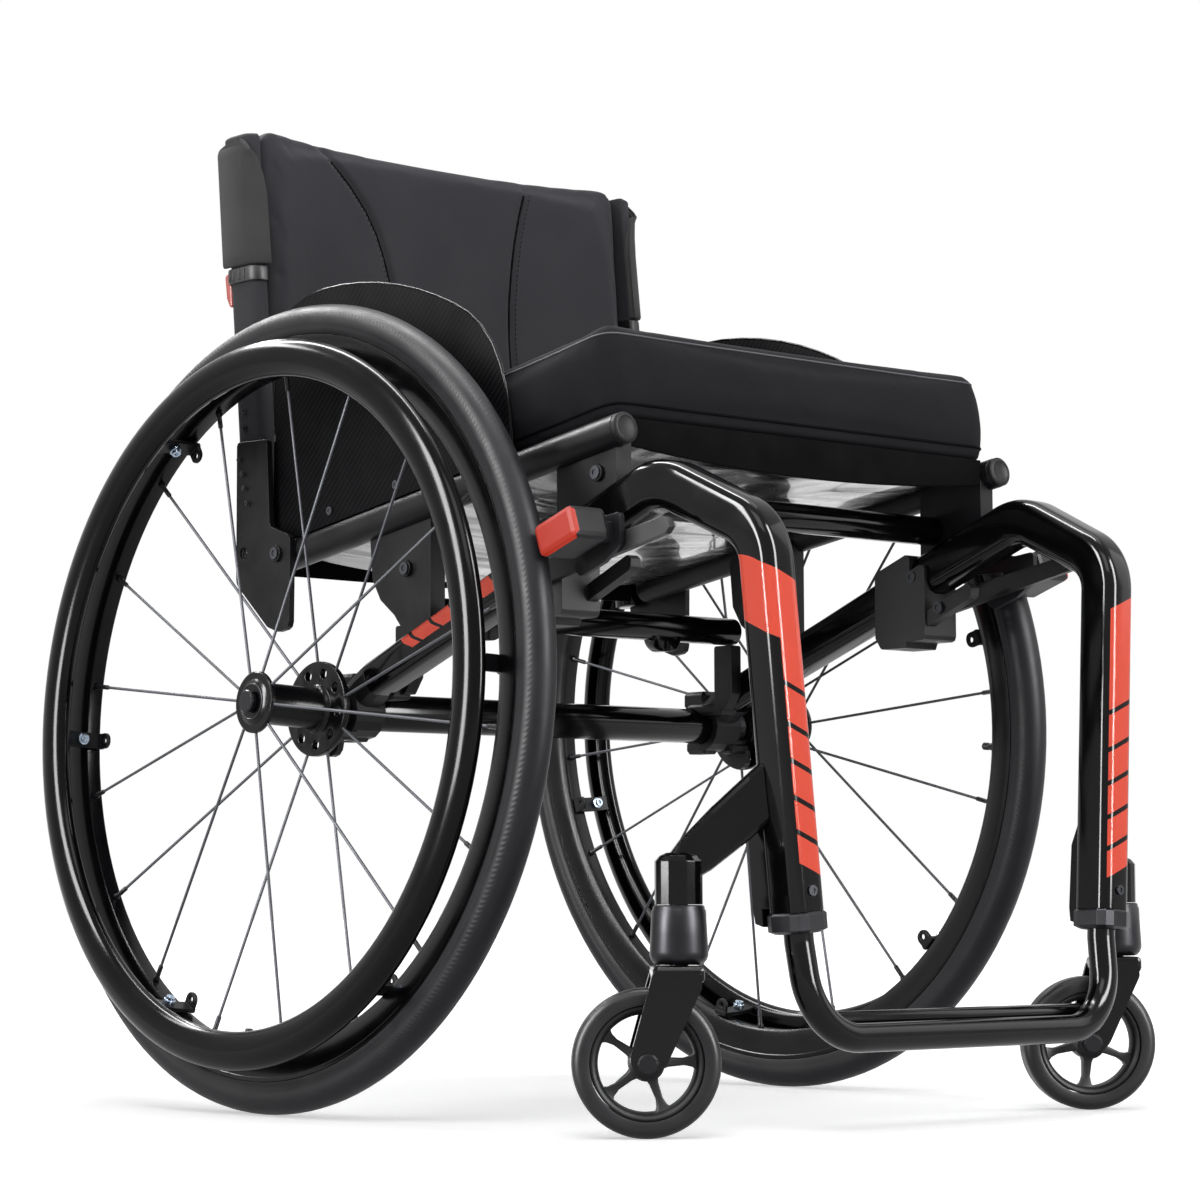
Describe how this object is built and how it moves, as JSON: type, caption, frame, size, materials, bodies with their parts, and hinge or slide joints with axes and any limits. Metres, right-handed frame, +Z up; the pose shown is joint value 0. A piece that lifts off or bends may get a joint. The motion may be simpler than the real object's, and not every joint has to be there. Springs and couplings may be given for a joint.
{
  "type": "rigid wheelchair",
  "caption": "Rigid wheelchair with cambered spoked wheels, hand rims, swivel casters, a tube footrest, a cushioned seat and a low padded backrest.",
  "frame": {"origin": "middle of the chair's footprint on the floor: halfway between the rear wheels' rearmost point and the footrest's front, on the middle plane", "axes": "+Z up, the chair faces -Y, its left side is at +X"},
  "size_m": [0.6038, 0.7417, 0.747],
  "materials": {
    "frame": "gloss black paint",
    "hardware": "satin black",
    "alloy": "satin grey",
    "silver": "polished",
    "anodised": "black anodised",
    "handrim": "satin black coating",
    "plastic": "matte",
    "tyre": "grey rubber",
    "caster_tread": "grey polyurethane",
    "fabric": "charcoal woven",
    "sling": "coated woven",
    "coral": "coral",
    "guard": "black laminate"
  },
  "bodies": {
    "frame": {"axle_tube": "frame", "cross_tube_front": "frame", "cross_tube_rear": "frame", "footrest": "frame", "seat_sling": "sling", "seat_cushion": "fabric", "side_tube_left": "frame", "caster_arm_left": "frame", "bearing_cup_left": "alloy", "leg_collar_left": "alloy", "axle_bracket_left": "hardware", "axle_sleeve_left": "silver", "axle_pin_left": "alloy", "seat_rail_left": "frame", "front_riser_left": "frame", "rear_riser_left": "hardware", "side_guard_left": "guard", "back_bracket_left": "hardware", "brake_clamp_left": "plastic", "side_tube_right": "frame", "caster_arm_right": "frame", "bearing_cup_right": "alloy", "leg_collar_right": "alloy", "axle_bracket_right": "hardware", "axle_sleeve_right": "silver", "axle_pin_right": "alloy", "seat_rail_right": "frame", "front_riser_right": "frame", "rear_riser_right": "hardware", "side_guard_right": "guard", "back_bracket_right": "hardware", "brake_clamp_right": "plastic"},
    "backrest": {"back_post_left": "frame", "back_post_right": "frame", "back_strip_left": "fabric", "back_strip_right": "fabric", "back_bar": "frame", "back_upholstery": "fabric"},
    "wheel_left": {"rear_tyre_left": "tyre", "rear_rim_left": "anodised", "rear_hub_left": "anodised", "handrim_left": "handrim"},
    "release_left": {"axle_button_left": "alloy"},
    "caster_left": {"caster_fork_left": "frame", "caster_axle_left": "alloy"},
    "caster_wheel_left": {"caster_tyre_left": "caster_tread", "caster_hub_left": "plastic"},
    "brake_lever_left": {"brake_lever_left": "plastic"},
    "brake_arm_left": {"brake_arm_left": "coral"},
    "wheel_right": {"rear_tyre_right": "tyre", "rear_rim_right": "anodised", "rear_hub_right": "anodised", "handrim_right": "handrim"},
    "release_right": {"axle_button_right": "alloy"},
    "caster_right": {"caster_fork_right": "frame", "caster_axle_right": "alloy"},
    "caster_wheel_right": {"caster_tyre_right": "caster_tread", "caster_hub_right": "plastic"},
    "brake_lever_right": {"brake_lever_right": "plastic"},
    "brake_arm_right": {"brake_arm_right": "coral"}
  },
  "joints": [
    {"name": "wheel_left_spin", "type": "hinge", "parent": "frame", "child": "wheel_left", "pos_m": [0.2467, 0.0764, 0.29393], "axis": [0.9986, 0, 0.0523], "continuous": true},
    {"name": "release_left_press", "type": "slide", "parent": "frame", "child": "release_left", "axis": [-0.9986, 0, -0.0523], "range_m": [0, 0.0028], "stiffness_N_per_m": 600},
    {"name": "caster_left_swivel", "type": "hinge", "parent": "frame", "child": "caster_left", "pos_m": [0.2173, -0.31, 0.11], "axis": [0, 0, 1], "continuous": true},
    {"name": "caster_left_spin", "type": "hinge", "parent": "caster_left", "child": "caster_wheel_left", "pos_m": [0.20071, -0.29632, 0.048], "axis": [0.6361, 0.7716, 0], "continuous": true},
    {"name": "brake_left_lever", "type": "hinge", "parent": "frame", "child": "brake_lever_left", "pos_m": [0.2056, -0.15163, 0.37391], "axis": [1, 0, 0], "range_deg": [0, 30]},
    {"name": "brake_left_arm", "type": "hinge", "parent": "frame", "child": "brake_arm_left", "pos_m": [0.21, -0.16863, 0.40491], "axis": [1, 0, 0], "range_deg": [0, 4.4]},
    {"name": "wheel_right_spin", "type": "hinge", "parent": "frame", "child": "wheel_right", "pos_m": [-0.2467, 0.0764, 0.29393], "axis": [0.9986, 0, -0.0523], "continuous": true},
    {"name": "release_right_press", "type": "slide", "parent": "frame", "child": "release_right", "axis": [0.9986, 0, -0.0523], "range_m": [0, 0.0028], "stiffness_N_per_m": 600},
    {"name": "caster_right_swivel", "type": "hinge", "parent": "frame", "child": "caster_right", "pos_m": [-0.2173, -0.31, 0.11], "axis": [0, 0, 1], "continuous": true},
    {"name": "caster_right_spin", "type": "hinge", "parent": "caster_right", "child": "caster_wheel_right", "pos_m": [-0.23389, -0.29632, 0.048], "axis": [0.6361, 0.7716, 0], "continuous": true},
    {"name": "brake_right_lever", "type": "hinge", "parent": "frame", "child": "brake_lever_right", "pos_m": [-0.2056, -0.15163, 0.37391], "axis": [1, 0, 0], "range_deg": [0, 30]},
    {"name": "brake_right_arm", "type": "hinge", "parent": "frame", "child": "brake_arm_right", "pos_m": [-0.21, -0.16863, 0.40491], "axis": [1, 0, 0], "range_deg": [0, 4.4]},
    {"name": "back_recline", "type": "hinge", "parent": "frame", "child": "backrest", "pos_m": [0, 0.1857, 0.416], "axis": [-1, 0, 0], "range_deg": [-4, 10]}
  ],
  "couplings": [
    {"joint": "brake_left_arm", "follows": "brake_left_lever", "ratio": 0.14667},
    {"joint": "brake_right_arm", "follows": "brake_right_lever", "ratio": 0.14667}
  ]
}
